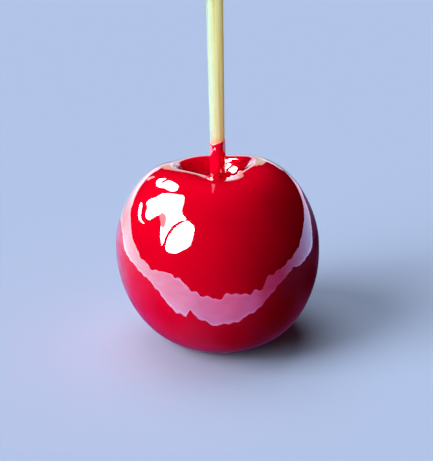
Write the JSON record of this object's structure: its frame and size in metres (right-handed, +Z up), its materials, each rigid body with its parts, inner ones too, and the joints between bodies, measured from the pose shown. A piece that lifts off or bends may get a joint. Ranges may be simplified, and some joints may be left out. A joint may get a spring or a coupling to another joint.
{
  "type": "toffee apple",
  "caption": "Whole apple in a smooth, glossy red toffee coat, with a tapered wooden stick in its stalk hollow to hold it by; it stands on a small flat spot.",
  "frame": {"origin": "where the stick's axis meets the surface that the apple stands on", "axes": "+Z up along the stick's axis; -Y the front, where the rim of the hollow dips lowest; +X to the right, seen from the front"},
  "size_m": [0.0762, 0.0762, 0.18],
  "materials": {
    "toffee": "smooth, hard, mirror-glossy red boiled sugar",
    "wood": "bare pale bamboo with fine lengthwise fibres"
  },
  "bodies": {
    "root": {"coated_apple": "toffee", "stick": "wood"}
  },
  "joints": []
}
